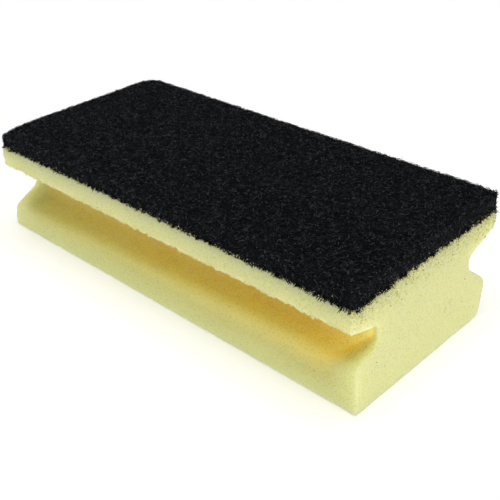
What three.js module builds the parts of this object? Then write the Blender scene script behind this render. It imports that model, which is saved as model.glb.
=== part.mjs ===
// Scouring sponge with finger grips: a foam block with a groove along each long side, and an abrasive
// fleece pad glued over its top. Millimetres, +Z up, +X along the length.
// The origin is the middle of the block's footprint, on the surface that it stands on.
import * as THREE from "three";

// Overall size
const LENGTH = 150;
const WIDTH = 68.5;
const HEIGHT = 39;

// Layers, from the top down
const PAD_THICKNESS = 6;
const ADHESIVE_THICKNESS = 0.5;
const FOAM_HEIGHT = HEIGHT - PAD_THICKNESS - ADHESIVE_THICKNESS;

// Each finger groove is cut into one long side, and its two sides differ a little, as cut foam does.
// Depths are measured in from the pad's edge, and heights up from the base.
const FRONT_GRIP = {
  flangeHeight: 26.5, // underside of the flange at its edge
  rootDepth: 11.25, // deepest point of the groove
  rootTop: 24,
  rootBottom: 16,
  rootRadius: 2.5,
  shoulderHeight: 11.5, // top of the lower block
  shoulderRadius: 3,
  blockInset: 2, // the lower block stands back from the pad's edge
  baseRadius: 1,
};
const BACK_GRIP = {
  flangeHeight: 28.5,
  rootDepth: 13.5,
  rootTop: 24.25,
  rootBottom: 20,
  rootRadius: 2,
  shoulderHeight: 11.5,
  shoulderRadius: 3,
  blockInset: 3,
  baseRadius: 4,
};
const FLANGE_RADIUS = 0.8;
const PAD_CORNER_RADIUS = 1.5;
const ARC_SEGMENTS = 6;

const foamMaterial = new THREE.MeshStandardMaterial({ color: 0xe9e39c, roughness: 0.95, metalness: 0 });
const adhesiveMaterial = new THREE.MeshStandardMaterial({ color: 0xcfc79a, roughness: 0.5, metalness: 0 });
const fleeceMaterial = new THREE.MeshStandardMaterial({ color: 0x16181a, roughness: 0.9, metalness: 0 });

// Closed outline through corners [across, up, radius], with each corner rounded by its own radius.
function roundedOutline(corners) {
  const shape = new THREE.Shape();
  corners.forEach(([across, up, radius], index) => {
    const corner = new THREE.Vector2(across, up);
    const before = corners[(index + corners.length - 1) % corners.length];
    const after = corners[(index + 1) % corners.length];
    const arcStart = new THREE.Vector2(before[0], before[1]).sub(corner).setLength(radius).add(corner);
    const arcEnd = new THREE.Vector2(after[0], after[1]).sub(corner).setLength(radius).add(corner);
    if (index === 0) {
      shape.moveTo(arcStart.x, arcStart.y);
    } else {
      shape.lineTo(arcStart.x, arcStart.y);
    }
    if (radius > 0) {
      shape.quadraticCurveTo(corner.x, corner.y, arcEnd.x, arcEnd.y);
    }
  });
  shape.closePath();
  return shape;
}

// Corners of one long side of the foam, from its top edge down to its base. side is -1 or +1.
function gripCorners(grip, side) {
  const edge = WIDTH / 2;
  const root = edge - grip.rootDepth;
  const block = edge - grip.blockInset;
  return [
    [side * edge, FOAM_HEIGHT, 0],
    [side * edge, grip.flangeHeight, FLANGE_RADIUS],
    [side * root, grip.rootTop, grip.rootRadius],
    [side * root, grip.rootBottom, grip.rootRadius],
    [side * block, grip.shoulderHeight, grip.shoulderRadius],
    [side * block, 0, grip.baseRadius],
  ];
}

// The foam block: its cross-section drawn across the width and swept along the length.
function foamGeometry() {
  const front = gripCorners(FRONT_GRIP, -1);
  const back = gripCorners(BACK_GRIP, 1).reverse();
  const section = roundedOutline([...front, ...back]);
  const geometry = new THREE.ExtrudeGeometry(section, {
    depth: LENGTH,
    bevelEnabled: false,
    curveSegments: ARC_SEGMENTS,
  });
  const acrossIsY = new THREE.Matrix4().makeBasis(
    new THREE.Vector3(0, 1, 0),
    new THREE.Vector3(0, 0, 1),
    new THREE.Vector3(1, 0, 0),
  );
  geometry.applyMatrix4(acrossIsY);
  return geometry.translate(-LENGTH / 2, 0, 0);
}

// A flat layer as large as the sponge's plan, lying on z = 0, with rounded upright corners.
function layerGeometry(thickness) {
  const plan = roundedOutline([
    [-LENGTH / 2, -WIDTH / 2, PAD_CORNER_RADIUS],
    [LENGTH / 2, -WIDTH / 2, PAD_CORNER_RADIUS],
    [LENGTH / 2, WIDTH / 2, PAD_CORNER_RADIUS],
    [-LENGTH / 2, WIDTH / 2, PAD_CORNER_RADIUS],
  ]);
  return new THREE.ExtrudeGeometry(plan, {
    depth: thickness,
    bevelEnabled: false,
    curveSegments: ARC_SEGMENTS,
  });
}

function namedMesh(name, geometry, material, height) {
  const mesh = new THREE.Mesh(geometry, material);
  mesh.name = name;
  mesh.position.z = height;
  return mesh;
}

const sponge = new THREE.Group();
sponge.add(namedMesh("foam_body", foamGeometry(), foamMaterial, 0));
sponge.add(namedMesh("adhesive_layer", layerGeometry(ADHESIVE_THICKNESS), adhesiveMaterial, FOAM_HEIGHT));
sponge.add(
  namedMesh("scouring_pad", layerGeometry(PAD_THICKNESS), fleeceMaterial, FOAM_HEIGHT + ADHESIVE_THICKNESS),
);

export default sponge;
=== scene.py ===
"""Looks for the scouring sponge with finger grips.

The frame is metres, +X along the length, -Y the front side, +Z up. Shapes here are worked out in
millimetres and turned into metres when a mesh is made.
"""

import math

import bpy
import numpy as np
from mathutils import Matrix, Vector, kdtree, noise


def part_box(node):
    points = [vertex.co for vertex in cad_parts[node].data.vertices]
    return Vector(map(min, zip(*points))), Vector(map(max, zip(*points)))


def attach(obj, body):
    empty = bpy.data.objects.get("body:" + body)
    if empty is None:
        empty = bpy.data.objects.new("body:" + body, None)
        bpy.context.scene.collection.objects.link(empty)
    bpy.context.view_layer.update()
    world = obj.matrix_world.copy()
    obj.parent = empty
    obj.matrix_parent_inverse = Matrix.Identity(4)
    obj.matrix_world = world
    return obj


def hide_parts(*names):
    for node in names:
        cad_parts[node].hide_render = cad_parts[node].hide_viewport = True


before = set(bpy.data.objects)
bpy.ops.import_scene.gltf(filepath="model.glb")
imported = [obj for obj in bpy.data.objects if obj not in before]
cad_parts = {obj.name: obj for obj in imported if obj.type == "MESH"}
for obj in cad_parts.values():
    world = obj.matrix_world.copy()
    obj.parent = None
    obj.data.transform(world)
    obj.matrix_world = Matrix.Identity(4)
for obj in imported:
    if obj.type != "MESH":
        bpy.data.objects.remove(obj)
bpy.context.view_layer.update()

MM = 0.001

# Sizes from the frame, in millimetres
foam_low, foam_high = (np.array(corner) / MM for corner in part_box("foam_body"))
pad_low, pad_high = (np.array(corner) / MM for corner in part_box("scouring_pad"))
LENGTH, WIDTH, _ = foam_high - foam_low
HEIGHT = pad_high[2] - foam_low[2]
FOAM_TOP = foam_high[2]
PAD_BASE = pad_low[2]
EDGE = WIDTH / 2

# How this one sponge differs from its nominal shape, as cut and glued foam does
RISE_ALONG = 1.6  # the top is this much higher at the right end than at the left
RISE_ACROSS = 0.4  # and this much higher at the back than at the front
SLANT_LEFT = 2.7  # how far the base stands out past the top at each end
SLANT_RIGHT = 2.0
SPREAD_BACK = 0.7  # how much further back the right end's back side stands
BOW = 0.7  # the pad is this much thinner at the middle of each side than at its corners
CORNER_DIP = 1.3  # how far the pad's left front corner is pressed down
DIP_REACH = 4.5

RIM = PAD_BASE - 0.05  # the foam's edge, which meets the fleece outside the glue

# Cross-section of the foam at its two ends: (y, z, corner radius) of each corner, going from the
# front top edge down the front, along the base and up the back
SECTION_LEFT = [
    (-EDGE, RIM, 0.3),
    (-EDGE - 0.6, 26.3, 0.6),
    (-22.5, 24.2, 2.6),
    (-22.0, 14.0, 3.2),
    (-32.2, 8.0, 1.9),
    (-32.6, 0, 0.4),
    (28.5, 0, 3.5),
    (30.8, 11.0, 3.2),
    (20.8, 20.0, 2.4),
    (20.8, 25.2, 2.2),
    (EDGE, 28.6, 0.8),
    (EDGE, RIM, 0.3),
]
SECTION_RIGHT = [
    (-EDGE, RIM, 0.3),
    (-EDGE - 0.5, 26.5, 0.7),
    (-23.2, 23.6, 2.0),
    (-23.3, 17.4, 2.4),
    (-32.4, 15.4, 3.2),
    (-32.6, 0, 0.4),
    (29.3, 0, 3.0),
    (31.6, 11.5, 3.0),
    (20.6, 19.8, 2.2),
    (20.8, 23.2, 1.8),
    (EDGE, 28.0, 1.2),
    (EDGE, RIM, 0.3),
]
FRONT_FOOT = 1  # which corners of a section are the lower edges of its two flanges
BACK_FOOT = 10
FLANGE_FOOT = 26  # the underside of the lower flange, at its edge
GROOVE_MIDDLE = 21
BLOCK_SHOULDER = 11  # top of the lower block
STATIONS = 25
FILLET_POINTS = 6
FOAM_VOXEL = 0.66

# Unevenness of the foam's faces: how far each layer of it reaches, and how large its lumps are
SWELL = 0.16
SWELL_SIZE = 22
RIPPLE = 0.10
RIPPLE_SIZE = 5
GRAIN = 0.09
TORN_GRAIN = 0.14  # added where the foam is torn
GRAIN_SIZE = 1.5
FRAY = 0.65  # the flanges' lower edges wander up and down by this much
FRAY_SIZE = 1.4
FRAY_REACH = 1.2
BASE_SMOOTHING = 0.85  # the base is this much flatter than the other faces
BASE_FADE = 0.6  # and so is the foam less than this far above it
RIM_FLAT = 0.1  # the top is flat from this far below the rim
RIM_FADE = 0.7  # and rough from this far below it
END_FLAT = 0.5  # the tears reach this far in from either end in full
PITS = 900
PIT_RADII = (0.7, 1.5)
PIT_DEPTHS = (0.12, 0.5)
TORN_REACH = 3.0  # the end faces are torn for about this far below the pad
TOOTH_SPREAD = 0.8  # broken cells lie this close to the lower edges of the flanges

# Where the foam turns from pale to gold, by height, by depth into a groove and along the length: the
# gold is partly the foam's own warmer tone and partly painted shade and bounced light in the grooves
GOLD_SHADE_FOOT = 1
GOLD_SHADE_CLIMB = 16
GOLD_SHADE_DEPTHS = (0.5, 6)
GOLD_SHADE_AT_LEFT = 0.66
GOLD_SHADE_GAIN_TO_MIDDLE = 0.12
GOLD_SHADE_MIDDLE_FROM = -20
# Painted light: the grooves turn lighter towards the right end, where the lamps reach in
PAINTED_LIGHT_GAIN_TO_RIGHT = 0.2
PAINTED_LIGHT_RIGHT_FROM = 45
FLANGE_FADE = 1.5  # it turns within this height under the flanges
CUT_EDGE = 0.3  # it is pale up to here from either end
END_FADE = 2  # and gold from here on in the grooves
# Painted light: the lower block is left paler near either end, where the lamps reach into the grooves
BLOCK_END_FADE = 12  # and this much further in on the lower block

# The pad's upright corners, by the end and side that they're at
CORNER_RADIUS = {(-1, -1): 0.8, (1, -1): 1.2, (1, 1): 1.2, (-1, 1): 6.5}
PAD_EDGE_RADIUS = 0.6
PAD_VOXEL = 0.7
CORE_INSET = 0.35  # the pad's solid core lies this far under the fibres of its top face
CORE_SIDE_INSET = 0.2
CORE_FLARE = 0.3  # the core's lower edge stands out by this much
CORE_GRAIN = 0.14
CORE_GRAIN_SIZE = 1.6
CORE_SWELL = 0.12
CORE_SWELL_SIZE = 6
FILM_INSET = 2.0  # the foam is flat for the glue up to this far from its edge
FILM_GAP = 0.7  # and the glue stops this far short of that

rng = np.random.default_rng(11)


# ---------------------------------------------------------------- shape helpers


def warp(points):
    """Nominal millimetres to this sponge's own shape: slanted ends, a sloping top, an uneven pad."""
    x, y, z = points[..., 0], points[..., 1], points[..., 2]
    share = z / HEIGHT
    slant = np.where(x < 0, SLANT_LEFT, SLANT_RIGHT)
    into_pad = (z - PAD_BASE) / (HEIGHT - PAD_BASE)
    from_corner = 1 - np.minimum((2 * x / LENGTH) ** 2, (2 * y / WIDTH) ** 2)
    bow = BOW * np.clip(from_corner, 0, 1) * np.clip(1 - np.abs(into_pad), 0, 1)
    corner_distance = np.hypot(x + LENGTH / 2, y + EDGE)
    dip = CORNER_DIP * np.exp(-((corner_distance / DIP_REACH) ** 2)) * np.clip(into_pad, 0, 1)
    out = np.empty_like(points)
    out[..., 0] = x + slant * (1 - share) * x / (LENGTH / 2)
    out[..., 1] = y + SPREAD_BACK * np.clip(x / (LENGTH / 2), 0, 1) * np.clip(y / EDGE, 0, 1) * share
    out[..., 2] = z + share * (RISE_ALONG * x / LENGTH + RISE_ACROSS * y / WIDTH) + bow - dip
    return out


def rounded(corners):
    """Points of the closed outline through (y, z, radius) corners, each rounded by its radius."""
    points = []
    count = len(corners)
    steps = np.linspace(0, 1, FILLET_POINTS)[:, None]
    for index, (y, z, radius) in enumerate(corners):
        corner = np.array((y, z))
        ends = []
        for neighbour in (corners[index - 1], corners[(index + 1) % count]):
            away = np.array(neighbour[:2]) - corner
            ends.append(corner + away / np.linalg.norm(away) * radius)
        start, finish = ends
        points.append((1 - steps) ** 2 * start + 2 * steps * (1 - steps) * corner + steps**2 * finish)
    return np.concatenate(points)


def mesh_object(name, points, faces, smooth=True):
    """A mesh of points in millimetres, linked to the scene."""
    mesh = bpy.data.meshes.new(name)
    mesh.from_pydata((np.asarray(points) * MM).tolist(), [], faces)
    mesh.validate()
    if smooth:
        mesh.shade_smooth()
    made = bpy.data.objects.new(name, mesh)
    bpy.context.scene.collection.objects.link(made)
    return made


def voxel_remeshed(source, voxel):
    """source's mesh replaced by an even mesh of about voxel millimetres."""
    modifier = source.modifiers.new("voxels", "REMESH")
    modifier.mode = "VOXEL"
    modifier.voxel_size = voxel * MM
    evaluated = source.evaluated_get(bpy.context.evaluated_depsgraph_get())
    fine = bpy.data.meshes.new_from_object(evaluated)
    fine.name = source.name
    source.modifiers.clear()
    coarse = source.data
    source.data = fine
    bpy.data.meshes.remove(coarse)
    fine.shade_smooth()
    return source


def read_points(made):
    """Vertex places in millimetres, and vertex normals."""
    count = len(made.data.vertices)
    places = np.empty(count * 3, np.float32)
    normals = np.empty(count * 3, np.float32)
    made.data.vertices.foreach_get("co", places)
    made.data.vertex_normals.foreach_get("vector", normals)
    return places.reshape(-1, 3).astype(float) / MM, normals.reshape(-1, 3).astype(float)


def write_points(made, points):
    """Moves made's vertices to points in millimetres."""
    made.data.vertices.foreach_set("co", (points * MM).astype(np.float32).ravel())
    made.data.update()


def grain(points, size, seed):
    """Smooth noise of about -1 to 1, with lumps of about size millimetres."""
    offset = Vector((seed * 17.3, seed * -9.1, seed * 5.7))
    return np.array([noise.noise(Vector(p) / size + offset) for p in points])


def smooth_step(low, high, values):
    """0 at low, 1 at high and smooth between them. low may be above high."""
    t = np.clip((values - low) / (high - low), 0, 1)
    return t * t * (3 - 2 * t)


# ---------------------------------------------------------------- foam block


def foam_solid():
    """The block swept from its left section to its right one, with closed ends."""
    rings = []
    for along in np.linspace(0, 1, STATIONS):
        corners = [
            tuple((1 - along) * np.array(left) + along * np.array(right))
            for left, right in zip(SECTION_LEFT, SECTION_RIGHT)
        ]
        section = rounded(corners)
        x = np.full((len(section), 1), (along - 0.5) * LENGTH)
        rings.append(np.hstack([x, section]))
    size = len(rings[0])
    faces = []
    for station in range(STATIONS - 1):
        for point in range(size):
            here = station * size + point
            beside = station * size + (point + 1) % size
            faces.append((here, here + size, beside + size, beside))
    faces.append(tuple(range(size)))
    faces.append(tuple(range(STATIONS * size - 1, (STATIONS - 1) * size - 1, -1)))
    return mesh_object("foam_block", np.concatenate(rings), faces)


def pit_depths(points, centres, radii, depths):
    """How far each point sinks into the pits around it."""
    tree = kdtree.KDTree(len(points))
    for index, point in enumerate(points):
        tree.insert(point, index)
    tree.balance()
    sunk = np.zeros(len(points))
    for centre, radius, depth in zip(centres, radii, depths):
        for _, index, distance in tree.find_range(points[centre], radius):
            share = 1 - (distance / radius) ** 2
            sunk[index] = max(sunk[index], depth * share)
    return sunk


def groove_shade_share(points):
    """Painted shade and light for the foam's colour: 0 at the foot of the block and on the flanges,
    and up to 1 at the root of either groove, where the gold is partly the foam's own warmer tone and
    partly painted shade and bounced light under the flanges; it rises towards the right end to a
    lighter colour that is painted light, and is paler near either end as painted light where the
    lamps reach into the grooves.
    """
    along, across, height = points.T
    end = LENGTH / 2
    gold = GOLD_SHADE_AT_LEFT + GOLD_SHADE_GAIN_TO_MIDDLE * smooth_step(-end, GOLD_SHADE_MIDDLE_FROM, along)
    gold += PAINTED_LIGHT_GAIN_TO_RIGHT * smooth_step(PAINTED_LIGHT_RIGHT_FROM, end, along)
    gold *= np.clip((height - GOLD_SHADE_FOOT) / GOLD_SHADE_CLIMB, 0, 1)
    under_flange = smooth_step(FLANGE_FOOT, FLANGE_FOOT - FLANGE_FADE, height)
    deep = smooth_step(*GOLD_SHADE_DEPTHS, EDGE - np.abs(across))
    # Painted light: paler near either end, most on the lower block, where the lamps reach into the
    # grooves
    fade = END_FADE + BLOCK_END_FADE * smooth_step(GROOVE_MIDDLE, BLOCK_SHOULDER, height)
    inside = smooth_step(end - CUT_EDGE, end - fade, np.abs(along))
    return gold * np.maximum(under_flange, deep) * inside


def tuck_worn_corner(points):
    """Rounds the flange's left back corner like the pad's corner that lies over it."""
    radius = CORNER_RADIUS[-1, 1]
    centre = np.array((radius - LENGTH / 2, EDGE - radius))
    out = points[:, :2] - centre
    distance = np.hypot(out[:, 0], out[:, 1])
    outside = (out[:, 0] < 0) & (out[:, 1] > 0) & (distance > radius) & (points[:, 2] > GROOVE_MIDDLE)
    points[outside, :2] = centre + out[outside] * (radius / distance[outside])[:, None]


def flange_foot_distance(points):
    """How far each point is from the lower edge of the nearer flange."""
    share = (points[:, 0] / LENGTH + 0.5)[:, None]
    distances = []
    for corner in (FRONT_FOOT, BACK_FOOT):
        left, right = (np.array(section[corner][:2]) for section in (SECTION_LEFT, SECTION_RIGHT))
        foot = left * (1 - share) + right * share
        distances.append(np.linalg.norm(points[:, 1:] - foot, axis=1))
    return np.minimum(*distances)


def make_foam():
    """The foam block, and its points before warp() moves them."""
    block = voxel_remeshed(foam_solid(), FOAM_VOXEL)
    points, _ = read_points(block)
    tuck_worn_corner(points)
    write_points(block, points)
    points, normals = read_points(block)
    # painted shade and light of the grooves, for the foam's colour
    shade = groove_shade_share(points)
    hidden_top = smooth_step(RIM - RIM_FADE, RIM - RIM_FLAT, points[:, 2])
    base = smooth_step(BASE_FADE, 0, points[:, 2])
    at_end = smooth_step(LENGTH / 2 - END_FADE, LENGTH / 2 - END_FLAT, np.abs(points[:, 0]))
    torn = np.exp((points[:, 2] - RIM) / TORN_REACH) * at_end
    lift = SWELL * grain(points, SWELL_SIZE, seed=1) + RIPPLE * grain(points, RIPPLE_SIZE, seed=2)
    lift += (GRAIN + TORN_GRAIN * torn) * grain(points, GRAIN_SIZE, seed=3)
    centres = rng.integers(0, len(points), PITS)
    radii = rng.uniform(*PIT_RADII, PITS)
    depths = rng.uniform(*PIT_DEPTHS, PITS)
    lift -= pit_depths(points, centres, radii, depths)
    lift *= (1 - hidden_top) * (1 - BASE_SMOOTHING * base)
    points += normals * lift[:, None]
    frayed = np.exp(-((flange_foot_distance(points) / FRAY_REACH) ** 2))
    points[:, 2] += FRAY * frayed * grain(points, FRAY_SIZE, seed=7)
    under_film = np.all(np.abs(points[:, :2]) < (LENGTH / 2 - FILM_INSET, EDGE - FILM_INSET), axis=1)
    points[under_film & (points[:, 2] > FOAM_TOP), 2] = FOAM_TOP
    placed = warp(points)
    placed[:, 2] = np.maximum(placed[:, 2], 0)
    write_points(block, placed)
    for name, values in (("groove", shade), ("torn", torn)):
        attribute = block.data.attributes.new(name, "FLOAT", "POINT")
        attribute.data.foreach_set("value", values.astype(np.float32))
    return block, points


# ---------------------------------------------------------------- pad


def corner_radii(plan):
    """The upright corner's radius that applies at each plan point."""
    radii = np.empty(plan.shape[:-1])
    for (end, side), radius in CORNER_RADIUS.items():
        here = ((plan[..., 0] >= 0) == (end > 0)) & ((plan[..., 1] >= 0) == (side > 0))
        radii[here] = radius
    return radii


def on_pad(plan, lift):
    """Points on the pad's skin, lift millimetres proud of it.

    A plan point past the outline goes round the top edge and down the pad's side.
    """
    radii = corner_radii(plan)
    half = np.array((LENGTH / 2, EDGE))
    inner_half = half - radii[..., None]
    inner = np.clip(plan, -inner_half, inner_half)
    out = plan - inner
    distance = np.linalg.norm(out, axis=-1)
    direction = out / np.maximum(distance, 1e-9)[..., None]
    past = distance - radii + PAD_EDGE_RADIUS
    angle = np.clip(past / PAD_EDGE_RADIUS, 0, math.pi / 2)
    down = np.maximum(past - PAD_EDGE_RADIUS * math.pi / 2, 0)
    reach = np.where(
        past > 0,
        radii - PAD_EDGE_RADIUS + (PAD_EDGE_RADIUS + lift) * np.sin(angle),
        distance,
    )
    skin = np.empty(plan.shape[:-1] + (3,))
    skin[..., :2] = inner + direction * reach[..., None]
    skin[..., 2] = HEIGHT - PAD_EDGE_RADIUS + (PAD_EDGE_RADIUS + lift) * np.cos(angle) - down
    return skin


def pad_outline(inset, points_per_corner=7):
    """The pad's outline in plan, inset from its edge."""
    outline = []
    for quarter, (end, side) in enumerate(((1, 1), (-1, 1), (-1, -1), (1, -1))):
        radius = max(CORNER_RADIUS[end, side] - inset, 0.3)
        centre = np.array((end * (LENGTH / 2 - inset - radius), side * (EDGE - inset - radius)))
        for step in np.linspace(0, math.pi / 2, points_per_corner):
            angle = quarter * math.pi / 2 + step
            outline.append(centre + radius * np.array((math.cos(angle), math.sin(angle))))
    return np.array(outline)


def slab(name, outline, low, high):
    """A closed flat slab of that outline."""
    count = len(outline)
    lower = np.hstack([outline, np.full((count, 1), low)])
    upper = np.hstack([outline, np.full((count, 1), high)])
    faces = [tuple(range(count - 1, -1, -1)), tuple(range(count, 2 * count))]
    for index in range(count):
        after = (index + 1) % count
        faces.append((index, after, count + after, count + index))
    return mesh_object(name, np.concatenate([lower, upper]), faces)


def make_pad_core():
    """The dark mass of the fleece that shows between its outer fibres."""
    core = slab("fleece_core", pad_outline(CORE_SIDE_INSET), PAD_BASE, HEIGHT - CORE_INSET)
    voxel_remeshed(core, PAD_VOXEL)
    points, normals = read_points(core)
    lift = CORE_GRAIN * grain(points, CORE_GRAIN_SIZE, seed=4)
    lift += CORE_SWELL * grain(points, CORE_SWELL_SIZE, seed=5)
    bottom = smooth_step(PAD_BASE + 1.0, PAD_BASE + 0.2, points[:, 2])
    lift *= 1 - bottom
    points += normals * lift[:, None]
    flare = CORE_FLARE * smooth_step(PAD_BASE + 0.9, PAD_BASE, points[:, 2])
    points[:, :2] += normals[:, :2] * flare[:, None]
    points[:, 2] = np.maximum(points[:, 2], PAD_BASE)
    write_points(core, warp(points))
    return core


def make_adhesive():
    """The film of glue between the foam and the fleece, inside the edge of both."""
    film = slab("adhesive_film", pad_outline(FILM_INSET + FILM_GAP), FOAM_TOP, PAD_BASE)
    points, _ = read_points(film)
    write_points(film, warp(points))
    return film


# ---------------------------------------------------------------- fibres

FIBRE_POINTS = 5
FIBRE_SIDES = 3
TIP_TAPER = 0.6  # a fibre's tips are this share of its thickness
FIBRE_BEND = 0.3  # radians from one point of a fibre to the next
WIGGLE = 0.35  # radians either way, on top of the bend
WIGGLE_RATE = 1.7
WAVE = 0.2  # millimetres that a lying fibre rises and sinks by
WAVE_RATE = 1.3
PERIMETER = 2 * (LENGTH + WIDTH) * (1 - 1e-6)
SIDE_HEIGHT = HEIGHT - PAD_BASE

# Cut fibre ends on the pad's sides, and the fringe at its lower edge, in millimetres
CUT_END_LENGTHS = (0.4, 0.9)
CUT_END_RADII = (0.05, 0.085)
CUT_END_ROOT = -0.4
FRINGE_RADII = (0.08, 0.14)
FRINGE_ROOT = -0.15
FRINGE_RISE = (0.1, 0.9)  # its fibres start this far above the pad's lower edge
FRINGE_REACH = 0.6  # and hang below it by about this much where it is raggedest
FRINGE_LIMITS = (-0.25, 0.5)
FRINGE_RAG_SIZE = 1.3
TUFT_SPREAD = 0.22


def tubes(name, paths, radii):
    """One mesh of many thin three-sided tubes with closed ends, each tapering at its tips."""
    count, steps, _ = paths.shape
    tangents = np.gradient(paths, axis=1)
    tangents /= np.linalg.norm(tangents, axis=2, keepdims=True)
    reference = rng.normal(size=(count, 1, 3))
    across = np.cross(tangents, reference)
    across /= np.linalg.norm(across, axis=2, keepdims=True)
    other = np.cross(tangents, across)
    thickness = np.ones(steps)
    thickness[[0, -1]] = TIP_TAPER
    rings = []
    for side in range(FIBRE_SIDES):
        angle = 2 * math.pi * side / FIBRE_SIDES
        offset = math.cos(angle) * across + math.sin(angle) * other
        rings.append(paths + offset * (radii[:, None] * thickness)[..., None])
    points = np.stack(rings, axis=2).reshape(-1, 3)
    first = np.arange(count)[:, None] * steps * FIBRE_SIDES
    walls = []
    for step in range(steps - 1):
        for side in range(FIBRE_SIDES):
            a = step * FIBRE_SIDES + side
            b = step * FIBRE_SIDES + (side + 1) % FIBRE_SIDES
            walls.append((a, b, b + FIBRE_SIDES, a + FIBRE_SIDES))
    last = (steps - 1) * FIBRE_SIDES
    faces = (first[:, :, None] + np.array(walls)[None]).reshape(-1, 4).tolist()
    faces += (first + np.array((2, 1, 0))[None]).tolist()
    faces += (first + last + np.array((0, 1, 2))[None]).tolist()
    return mesh_object(name, points, faces)


def wandering(count, length, bend):
    """Plan curves of random heading that start anywhere on the pad's top or sides."""
    half = np.array((LENGTH / 2, EDGE))
    starts = np.empty((0, 2))
    while len(starts) < count:
        tries = rng.uniform(-half - SIDE_HEIGHT, half + SIDE_HEIGHT, (2 * count, 2))
        outside = (np.abs(tries) > half).sum(axis=1)
        starts = np.concatenate([starts, tries[outside < 2]])
    starts = starts[:count]
    heading = rng.uniform(0, 2 * math.pi, (count, 1))
    turn = rng.normal(0, bend, (count, 1))
    wiggle = rng.uniform(0, 2 * math.pi, (count, 1))
    reach = length[:, None] / (FIBRE_POINTS - 1)
    step = np.arange(FIBRE_POINTS)[None]
    angle = heading + turn * step + WIGGLE * np.sin(wiggle + WIGGLE_RATE * step)
    moves = np.stack([np.cos(angle), np.sin(angle)], axis=-1) * reach[..., None]
    return starts[:, None] + np.cumsum(moves, axis=1)


def lying_fibres(name, count, lengths, depths, radii):
    """Fibres that lie in the pad's skin, within depths millimetres proud of its nominal face."""
    plan = wandering(count, rng.uniform(*lengths, count), FIBRE_BEND)
    step = np.arange(FIBRE_POINTS)[None]
    depth = rng.uniform(*depths, (count, 1))
    wave = WAVE * np.sin(rng.uniform(0, 2 * math.pi, (count, 1)) + WAVE_RATE * step)
    paths = on_pad(plan, depth + wave)
    paths[..., 2] = np.maximum(paths[..., 2], PAD_BASE + rng.uniform(0.0, 0.4, (count, 1)))
    return tubes(name, warp(paths), rng.uniform(*radii, count))


def on_side(around, down, lift):
    """Points on the pad's cut sides, with the way out of the pad at each of them.

    around goes along the four sides, and down is how far below the pad's top face a point lies.
    """
    half = np.array((LENGTH / 2, EDGE))
    plan = np.empty((len(around), 2))
    outward = np.zeros((len(around), 3))
    run = around.copy()
    for axis, sign in ((0, -1), (1, 1), (0, 1), (1, -1)):
        span = WIDTH if axis == 0 else LENGTH
        here = (run >= 0) & (run < span)
        plan[here, axis] = sign * half[axis]
        plan[here, 1 - axis] = run[here] - span / 2
        outward[here, axis] = sign
        run = np.where(run >= 0, run - span, np.inf)
    return on_pad(plan + outward[:, :2] * down[:, None], lift), outward


def cut_ends(name, count):
    """Short fibre ends that stand out of the pad's cut sides."""
    down = PAD_EDGE_RADIUS + rng.uniform(0, 1, count) * (SIDE_HEIGHT - PAD_EDGE_RADIUS)
    root, outward = on_side(rng.uniform(0, PERIMETER, count), down, np.full(count, CUT_END_ROOT))
    heading = outward * rng.uniform(0.3, 0.6, (count, 1)) + rng.normal(0, 0.55, (count, 3))
    length = rng.uniform(*CUT_END_LENGTHS, (count, 1))
    steps = np.linspace(0, 1, 4)[None, :, None]
    curl = rng.normal(0, 0.3, (count, 1, 3))
    paths = root[:, None] + (heading[:, None] * steps + curl * steps**2) * length[:, None]
    return tubes(name, warp(paths), rng.uniform(*CUT_END_RADII, count))


def fringe(name, tufts, fibres_per_tuft):
    """Ragged tufts that hang over the foam along the pad's lower edge."""
    count = tufts * fibres_per_tuft
    around = np.repeat(rng.uniform(0, PERIMETER, tufts), fibres_per_tuft)
    around = np.clip(around + rng.normal(0, TUFT_SPREAD, count), 0, PERIMETER)
    ragged = grain(np.stack([around, around * 0, around * 0], axis=1), FRINGE_RAG_SIZE, seed=6)
    reach = np.clip(FRINGE_REACH * ragged, *FRINGE_LIMITS) * rng.uniform(0.5, 1.1, count)
    down = SIDE_HEIGHT - rng.uniform(*FRINGE_RISE, count)
    root, outward = on_side(around, down, np.full(count, FRINGE_ROOT))
    heading = outward * rng.uniform(0.3, 0.7, (count, 1)) + rng.normal(0, 0.45, (count, 3))
    heading[:, 2] = -1
    heading *= (SIDE_HEIGHT - down + reach)[:, None]
    steps = np.linspace(0, 1, 3)[None, :, None]
    paths = root[:, None] + heading[:, None] * steps
    return tubes(name, warp(paths), rng.uniform(*FRINGE_RADII, count))


# ---------------------------------------------------------------- grains and crumbs

# Sizes of the specks, in millimetres from the middle to a corner
DARK_CRUMB_SIZES = (0.10, 0.22)
PALE_CRUMB_SIZES = (0.09, 0.2)
TORN_CELL_SIZES = (0.12, 0.28)
TOOTH_SIZES = (0.16, 0.34)
GRAIN_LIFTS = (-0.25, 0.1)  # how proud of the pad's skin its grains lie
PALE_CRUMB_LIFTS = (0.1, 0.4)
TORN_CELL_SCATTER = 0.15
TOOTH_SCATTER = 0.10
END_FACE = 0.4  # a point this close to an end is on the end face


def specks(name, centres, sizes):
    """Small faceted lumps, one at each centre."""
    corners = np.array([(1, 0, 0), (-1, 0, 0), (0, 1, 0), (0, -1, 0), (0, 0, 1), (0, 0, -1)])
    faces = []
    for end in (4, 5):
        for first, second in ((0, 2), (2, 1), (1, 3), (3, 0)):
            faces.append((first, second, end) if end == 4 else (second, first, end))
    count = len(centres)
    axes, _ = np.linalg.qr(rng.normal(size=(count, 3, 3)))
    axes *= np.sign(np.linalg.det(axes))[:, None, None]
    stretch = rng.uniform(0.6, 1.3, (count, 1, 3)) * sizes[:, None, None]
    shapes = (corners[None] * stretch) @ axes
    points = (centres[:, None] + shapes).reshape(-1, 3)
    first = np.arange(count)[:, None, None] * len(corners)
    triangles = (first + np.array(faces)[None]).reshape(-1, 3).tolist()
    return mesh_object(name, points, triangles, smooth=False)


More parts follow.
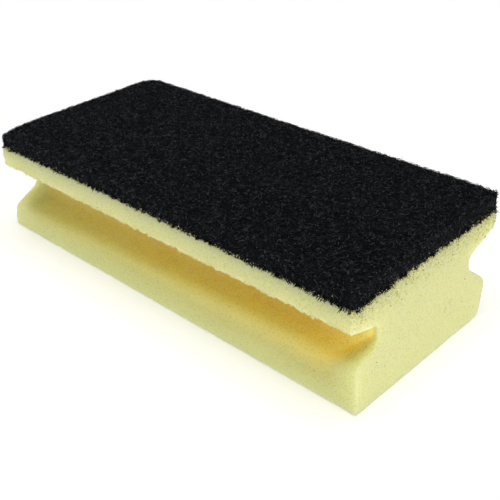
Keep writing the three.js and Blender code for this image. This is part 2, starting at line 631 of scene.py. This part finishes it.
def abrasive_grains(name, count, sizes):
    """Grains stuck on the fibres of the pad's skin."""
    half = np.array((LENGTH / 2, EDGE))
    plan = rng.uniform(-half - SIDE_HEIGHT, half + SIDE_HEIGHT, (2 * count, 2))
    plan = plan[(np.abs(plan) > half).sum(axis=1) < 2][:count]
    centres = on_pad(plan, rng.uniform(*GRAIN_LIFTS, len(plan)))
    return specks(name, warp(centres), rng.uniform(*sizes, len(plan)))


def dark_crumbs(name, count, foam_points):
    """Bits of fleece that fell on the foam's sides."""
    at_side = np.flatnonzero((foam_points[:, 2] > 1) & (foam_points[:, 2] < FOAM_TOP - 1))
    centres = foam_points[rng.choice(at_side, count)]
    return specks(name, warp(centres), rng.uniform(*DARK_CRUMB_SIZES, count))


def pale_crumbs(name, count):
    """Bits of foam caught in the lower edge of the fleece."""
    down = SIDE_HEIGHT - rng.gamma(1.5, 0.3, count)
    around = rng.uniform(0, PERIMETER, count)
    centres, _ = on_side(around, down, rng.uniform(*PALE_CRUMB_LIFTS, count))
    return specks(name, warp(centres), rng.uniform(*PALE_CRUMB_SIZES, count))


def torn_cells(name, count, foam_points):
    """Broken foam cells that roughen the block's end faces under the pad."""
    on_end = np.abs(foam_points[:, 0]) > LENGTH / 2 - END_FACE
    at_top = foam_points[:, 2] > RIM - 2 * TORN_REACH
    choices = np.flatnonzero(on_end & at_top)
    chance = np.exp(foam_points[choices, 2] / TORN_REACH)
    centres = foam_points[rng.choice(choices, count, p=chance / chance.sum())]
    centres = centres + rng.normal(0, TORN_CELL_SCATTER, (count, 3))
    return specks(name, warp(centres), rng.uniform(*TORN_CELL_SIZES, count))


def flange_teeth(name, count, foam_points):
    """Broken foam cells along the lower edge of each flange."""
    near = np.flatnonzero(flange_foot_distance(foam_points) < TOOTH_SPREAD)
    centres = foam_points[rng.choice(near, count)]
    centres = centres + rng.normal(0, TOOTH_SCATTER, (count, 3))
    return specks(name, warp(centres), rng.uniform(*TOOTH_SIZES, count))


# ---------------------------------------------------------------- materials


# Foam colours, from the flanges and the foot to the root of the grooves; the warm and amber ones are
# partly the foam's own tone and partly painted shade and bounced light
PALE_FOAM = (0.71, 0.735, 0.355)
WARM_FOAM_SHADE = (0.645, 0.61, 0.22)
AMBER_FOAM_SHADE = (0.88, 0.68, 0.145)
# painted light where the lamps reach into the grooves at the right end
PAINTED_LIGHT_FOAM = (1.0, 0.88, 0.33)
FOAM_PATCH = (0.72, 0.75, 0.38)
TORN_SHADOW = (0.50, 0.53, 0.22)
TORN_LIGHT = (0.88, 0.90, 0.52)
# painted shade in the pores
PORE_SHADE = (0.66, 0.62, 0.52)

# Sizes of the foam's and the fleece's surface patterns, in metres
PATCH_SIZE = 0.018
PORE_SIZE = 0.0007
PORE_PATCH_SIZE = 0.005
CRUMB_SIZE = 0.0011
FOAM_GRAIN_SIZE = 0.0009
FOAM_BUMP = 0.0003
SCATTER_DEPTH = 0.014
WEB_SIZE = 0.0008
WEB_BUMP = 0.0004
GLUE_STREAK_SIZE = 0.004


def new_material(name):
    """A material with its node tree and its Principled shader."""
    material = bpy.data.materials.new(name)
    material.use_nodes = True
    tree = material.node_tree
    return material, tree, tree.nodes["Principled BSDF"]


def add_node(tree, kind, inputs=(), **settings):
    """A node whose named inputs are linked to a socket or set to a value."""
    made = tree.nodes.new(kind)
    for key, value in settings.items():
        setattr(made, key, value)
    for key, value in dict(inputs).items():
        if isinstance(value, bpy.types.NodeSocket):
            tree.links.new(value, made.inputs[key])
        else:
            made.inputs[key].default_value = value
    return made


def noise_of(tree, place, size, detail=3.0, roughness=0.55):
    """A noise texture with lumps of about size metres."""
    inputs = {"Vector": place, "Scale": 1 / size, "Detail": detail, "Roughness": roughness}
    return add_node(tree, "ShaderNodeTexNoise", inputs).outputs["Fac"]


def ramp(tree, value, stops):
    """The colour at value on a ramp through (place, colour) stops."""
    made = add_node(tree, "ShaderNodeValToRGB", {"Fac": value})
    elements = made.color_ramp.elements
    while len(elements) < len(stops):
        elements.new(0.5)
    for element, (place, colour) in zip(elements, stops):
        element.position = place
        element.color = (*colour, 1)
    return made.outputs["Color"]


def mix(tree, share, one, other, blend="MIX"):
    """A colour that goes from one to other as share goes from 0 to 1."""
    made = add_node(tree, "ShaderNodeMix", data_type="RGBA", blend_type=blend)
    for index, value in ((0, share), (6, one), (7, other)):
        if isinstance(value, bpy.types.NodeSocket):
            tree.links.new(value, made.inputs[index])
        else:
            made.inputs[index].default_value = value if index == 0 else (*value, 1)
    return made.outputs[2]


def math_node(tree, operation, *values):
    """The result of one sum, whose values are sockets or numbers."""
    made = add_node(tree, "ShaderNodeMath", operation=operation)
    for index, value in enumerate(values):
        if isinstance(value, bpy.types.NodeSocket):
            tree.links.new(value, made.inputs[index])
        else:
            made.inputs[index].default_value = value
    return made.outputs[0]


def foam_material():
    """Pale foam that turns gold in the grooves, partly its own tone and partly painted shade and
    bounced light, with painted light at the right end of the grooves, pores darkened with painted
    shade, tears mottled with painted shadow and light, and light scattered inside it.
    """
    material, tree, shader = new_material("foam_cells")
    place = add_node(tree, "ShaderNodeTexCoord").outputs["Object"]
    # painted shade and light of the grooves, worked out in make_foam
    groove = add_node(tree, "ShaderNodeAttribute", attribute_name="groove").outputs["Fac"]
    stops = [(0.0, PALE_FOAM), (0.36, WARM_FOAM_SHADE), (0.8, AMBER_FOAM_SHADE), (1.0, PAINTED_LIGHT_FOAM)]
    body = ramp(tree, groove, stops)
    patches = noise_of(tree, place, PATCH_SIZE)
    body = mix(tree, math_node(tree, "MULTIPLY", patches, 0.25), body, FOAM_PATCH)
    torn = add_node(tree, "ShaderNodeAttribute", attribute_name="torn").outputs["Fac"]
    # The tears are mottled with painted shadow and painted light of their broken cells
    crumbs = noise_of(tree, place, CRUMB_SIZE, detail=2.0, roughness=0.7)
    mottle = ramp(tree, crumbs, [(0.42, TORN_SHADOW), (0.62, TORN_LIGHT)])
    body = mix(tree, math_node(tree, "MULTIPLY", torn, 0.75), body, mottle)
    # Darker dots at the middles of the cells: painted shade in the pores
    cells = add_node(tree, "ShaderNodeTexVoronoi", {"Vector": place, "Scale": 1 / PORE_SIZE})
    pores = ramp(tree, cells.outputs["Distance"], [(0.12, PORE_SHADE), (0.45, (1, 1, 1))])
    uneven = math_node(tree, "MULTIPLY", noise_of(tree, place, PORE_PATCH_SIZE, detail=2.0), 0.9)
    tree.links.new(mix(tree, uneven, body, pores, "MULTIPLY"), shader.inputs["Base Color"])
    shader.inputs["Roughness"].default_value = 0.9
    shader.inputs["Specular IOR Level"].default_value = 0.15
    shader.inputs["Subsurface Weight"].default_value = 1.0
    shader.inputs["Subsurface Radius"].default_value = (1.0, 0.85, 0.4)
    shader.inputs["Subsurface Scale"].default_value = SCATTER_DEPTH
    fine = noise_of(tree, place, FOAM_GRAIN_SIZE, detail=4.0, roughness=0.7)
    height = math_node(tree, "ADD", math_node(tree, "MULTIPLY", cells.outputs["Distance"], 0.6), fine)
    bump_inputs = {"Height": height, "Strength": 0.35, "Distance": FOAM_BUMP}
    bump = add_node(tree, "ShaderNodeBump", bump_inputs)
    tree.links.new(bump.outputs["Normal"], shader.inputs["Normal"])
    return material


def fleece_core_material():
    """Near-black web behind the fibres."""
    material, tree, shader = new_material("fleece_core")
    place = add_node(tree, "ShaderNodeTexCoord").outputs["Object"]
    webs = noise_of(tree, place, WEB_SIZE, detail=5.0, roughness=0.7)
    colour = ramp(tree, webs, [(0.35, (0.0013, 0.0017, 0.002)), (0.75, (0.0058, 0.007, 0.008))])
    tree.links.new(colour, shader.inputs["Base Color"])
    shader.inputs["Roughness"].default_value = 0.95
    shader.inputs["Specular IOR Level"].default_value = 0.1
    bump = add_node(tree, "ShaderNodeBump", {"Height": webs, "Strength": 0.8, "Distance": WEB_BUMP})
    tree.links.new(bump.outputs["Normal"], shader.inputs["Normal"])
    return material


def fibre_material(name, colour, roughness, gloss):
    """A plain colour, for fibres, grains and crumbs."""
    material, _, shader = new_material(name)
    shader.inputs["Base Color"].default_value = (*colour, 1)
    shader.inputs["Roughness"].default_value = roughness
    shader.inputs["Specular IOR Level"].default_value = gloss
    return material


def adhesive_material():
    """Streaky dried glue."""
    material, tree, shader = new_material("dried_adhesive")
    place = add_node(tree, "ShaderNodeTexCoord").outputs["Object"]
    streaks = noise_of(tree, place, GLUE_STREAK_SIZE)
    colour = ramp(tree, streaks, [(0.3, (0.55, 0.47, 0.26)), (0.7, (0.72, 0.66, 0.42))])
    tree.links.new(colour, shader.inputs["Base Color"])
    shader.inputs["Roughness"].default_value = 0.45
    return material


# ---------------------------------------------------------------- pieces


def finish_piece(made, material, replaces=None):
    """Gives a piece its material, slot and body, and hides the CAD node that it stands in for, if
    any.
    """
    made.data.materials.clear()
    made.data.materials.append(material)
    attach(made, "root")
    if replaces:
        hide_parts(replaces)


foam, foam_points = make_foam()
finish_piece(foam, foam_material(), "foam_body")

film = make_adhesive()
finish_piece(film, adhesive_material(), "adhesive_layer")

core = make_pad_core()
finish_piece(core, fleece_core_material(), "scouring_pad")

# The fleece's near-black, lighter from the deepest layer up: painted shade deep in the fleece and
# painted light on its top; the glint colour is a painted highlight as well as real shine
deep_fibre = fibre_material("fibre_deep", (0.0018, 0.0024, 0.0029), 0.6, 0.08)
middle_fibre = fibre_material("fibre_middle", (0.0048, 0.0063, 0.0075), 0.5, 0.1)
upper_fibre = fibre_material("fibre_upper", (0.0115, 0.0152, 0.0188), 0.45, 0.12)
top_fibre = fibre_material("fibre_top", (0.0237, 0.0306, 0.0375), 0.4, 0.15)
glint_fibre = fibre_material("fibre_glint", (0.057, 0.066, 0.075), 0.3, 0.4)

# Layers of lying fibres, from the deepest up: name, count, lengths, depths, radii and material
FIBRES_PER_LAYER = 7500
GLINTS = 3500
layers = [
    ("fleece_fibres_deep", FIBRES_PER_LAYER, (2, 5), (-0.50, -0.15), (0.045, 0.075), deep_fibre),
    ("fleece_fibres_middle", FIBRES_PER_LAYER, (2, 5), (-0.40, 0.0), (0.045, 0.075), middle_fibre),
    ("fleece_fibres_upper", FIBRES_PER_LAYER, (1.5, 4), (-0.30, 0.05), (0.045, 0.08), upper_fibre),
    ("fleece_fibres_top", FIBRES_PER_LAYER, (1, 3), (-0.30, 0.10), (0.05, 0.085), top_fibre),
    # painted highlights, with some real shine
    ("fleece_glints", GLINTS, (0.5, 1.6), (-0.15, 0.10), (0.06, 0.11), glint_fibre),
]
for name, count, lengths, depths, radii, material in layers:
    finish_piece(lying_fibres(name, count, lengths, depths, radii), material)

CUT_ENDS = 5000
TUFTS = 1500
FIBRES_PER_TUFT = 4
finish_piece(cut_ends("fleece_cut_ends", CUT_ENDS), middle_fibre)
finish_piece(fringe("fleece_fringe", TUFTS, FIBRES_PER_TUFT), deep_fibre)

# The shadowed grains are near-black, painted shade for the holes in the web as well as dark grains;
# the glinting grains are pale, painted glints as well as real shine
SHADOWED_GRAINS = 12000
GLINTING_GRAINS = 2200
shadowed_grain = fibre_material("grain_shadowed", (0.0015, 0.0018, 0.002), 0.5, 0.1)
glinting_grain = fibre_material("grain_glinting", (0.15, 0.158, 0.165), 0.25, 0.6)
finish_piece(abrasive_grains("shadowed_grains", SHADOWED_GRAINS, (0.12, 0.22)), shadowed_grain)
finish_piece(abrasive_grains("glinting_grains", GLINTING_GRAINS, (0.08, 0.16)), glinting_grain)

DARK_CRUMBS = 70
PALE_CRUMBS = 700
TORN_CELLS = 1800
CELL_SHADE_SPECKS = 700
FLANGE_TEETH = 1500
pale_crumb = fibre_material("pale_crumb", (0.70, 0.70, 0.50), 0.9, 0.2)
torn_foam = fibre_material("torn_foam", (0.82, 0.83, 0.42), 0.9, 0.1)
cell_shade_speck = fibre_material("cell_shade_speck", (0.42, 0.43, 0.17), 0.9, 0.1)
finish_piece(dark_crumbs("dark_crumbs", DARK_CRUMBS, foam_points), deep_fibre)
finish_piece(pale_crumbs("pale_crumbs", PALE_CRUMBS), pale_crumb)
finish_piece(torn_cells("torn_cells", TORN_CELLS, foam_points), torn_foam)
# Dark foam specks just under the pad: painted shade in the open cells of the torn ends
finish_piece(torn_cells("cell_shade_specks", CELL_SHADE_SPECKS, foam_points), cell_shade_speck)
finish_piece(flange_teeth("flange_teeth", FLANGE_TEETH, foam_points), torn_foam)


# ---------------------------------------------------------------- stage, light and camera

CAMERA_AZIMUTH = 43.377  # degrees
CAMERA_ELEVATION = 31.353
CAMERA_ROLL = -0.815
CAMERA_PLACE = (173.76, -174.52, 155.26)  # millimetres
IMAGE_SIDE = 500
FOCAL_PIXELS = 861.74
SENSOR = 36
NEAREST_SEEN = 0.01  # metres

FLOOR_SIDE = 40000
FLOOR_GLOW = 0.25

# Lights: place and size in metres, power in watts
LIGHT_TARGET = (0, 0, 0.02)
AREA_LIGHTS = [
    ("key_right", (1.2, -0.1, 0.3), 0.5, 3.3, (1, 0.87, 0.72)),
    ("front_fill", (0.1, -1.3, 0.18), 0.8, 0.38, (0.97, 1, 1)),
    ("left_fill", (-0.35, -0.25, 0.05), 0.2, 0.12, (1, 1, 0.95)),
    ("corner_fill", (0.3, -0.3, 0.10), 0.2, 0.22, (1, 0.97, 0.9)),
]
OVERHEAD_TOWARDS = (-0.03, 0.02, -1)
OVERHEAD_STRENGTH = 1.9
OVERHEAD_SPREAD = 50
STUDIO_GLOW = 0.2  # how strongly the surroundings light the sponge
STUDIO_SEEN = 1.0  # and how bright they look to the camera


def make_camera():
    """A camera that looks back along its azimuth and elevation, then rolled about its own axis."""
    azimuth, elevation, roll = map(math.radians, (CAMERA_AZIMUTH, CAMERA_ELEVATION, CAMERA_ROLL))
    back = Vector(
        (
            math.sin(azimuth) * math.cos(elevation),
            -math.cos(azimuth) * math.cos(elevation),
            math.sin(elevation),
        )
    )
    right = (-back).cross(Vector((0, 0, 1))).normalized()
    up = right.cross(-back)
    turned_right = math.cos(roll) * right + math.sin(roll) * up
    turned_up = math.cos(roll) * up - math.sin(roll) * right
    camera = bpy.data.objects.new("camera", bpy.data.cameras.new("camera"))
    camera.data.sensor_width = SENSOR
    camera.data.lens = SENSOR * FOCAL_PIXELS / IMAGE_SIDE
    camera.data.clip_start = NEAREST_SEEN
    camera.matrix_world = Matrix.Translation(Vector(CAMERA_PLACE) * MM) @ (
        Matrix((turned_right, turned_up, back)).transposed().to_4x4()
    )
    bpy.context.scene.collection.objects.link(camera)
    bpy.context.scene.camera = camera


def make_floor():
    """White paper under the sponge, out to the horizon."""
    side = FLOOR_SIDE
    corners = [(-side, -side, 0), (side, -side, 0), (side, side, 0), (-side, side, 0)]
    floor = mesh_object("floor", corners, [(0, 1, 2, 3)])
    material, _, shader = new_material("floor_paper")
    shader.inputs["Base Color"].default_value = (0.9, 0.9, 0.9, 1)
    shader.inputs["Roughness"].default_value = 0.9
    shader.inputs["Specular IOR Level"].default_value = 0.0
    shader.inputs["Emission Color"].default_value = (1, 1, 1, 1)
    shader.inputs["Emission Strength"].default_value = FLOOR_GLOW
    floor.data.materials.append(material)


def area_light(name, place, size, power, colour):
    """A square soft light of size metres that points at the middle of the sponge."""
    data = bpy.data.lights.new(name, "AREA")
    data.shape = "SQUARE"
    data.size = size
    data.energy = power
    data.color = colour
    light = bpy.data.objects.new(name, data)
    light.visible_camera = False
    light.location = place
    towards = Vector(LIGHT_TARGET) - Vector(place)
    light.rotation_mode = "QUATERNION"
    light.rotation_quaternion = towards.to_track_quat("-Z", "Y")
    bpy.context.scene.collection.objects.link(light)


def soft_sun(name, towards, strength, spread):
    """Even light from far off, softened by its apparent size of spread degrees."""
    data = bpy.data.lights.new(name, "SUN")
    data.energy = strength
    data.angle = math.radians(spread)
    light = bpy.data.objects.new(name, data)
    light.rotation_mode = "QUATERNION"
    light.rotation_quaternion = Vector(towards).to_track_quat("-Z", "Y")
    bpy.context.scene.collection.objects.link(light)


def make_light():
    """Surroundings that look white but light softly, an overhead light and a few area lights."""
    world = bpy.data.worlds.new("studio")
    world.use_nodes = True
    tree = world.node_tree
    background = tree.nodes["Background"]
    background.inputs["Color"].default_value = (1, 1, 1, 1)
    seen = add_node(tree, "ShaderNodeLightPath").outputs["Is Camera Ray"]
    strength = math_node(tree, "MULTIPLY_ADD", seen, STUDIO_SEEN - STUDIO_GLOW, STUDIO_GLOW)
    tree.links.new(strength, background.inputs["Strength"])
    bpy.context.scene.world = world
    soft_sun("overhead", OVERHEAD_TOWARDS, OVERHEAD_STRENGTH, OVERHEAD_SPREAD)
    for name, place, size, power, colour in AREA_LIGHTS:
        area_light(name, place, size, power, colour)
    bpy.context.scene.view_settings.view_transform = "Standard"


make_camera()
make_floor()
make_light()
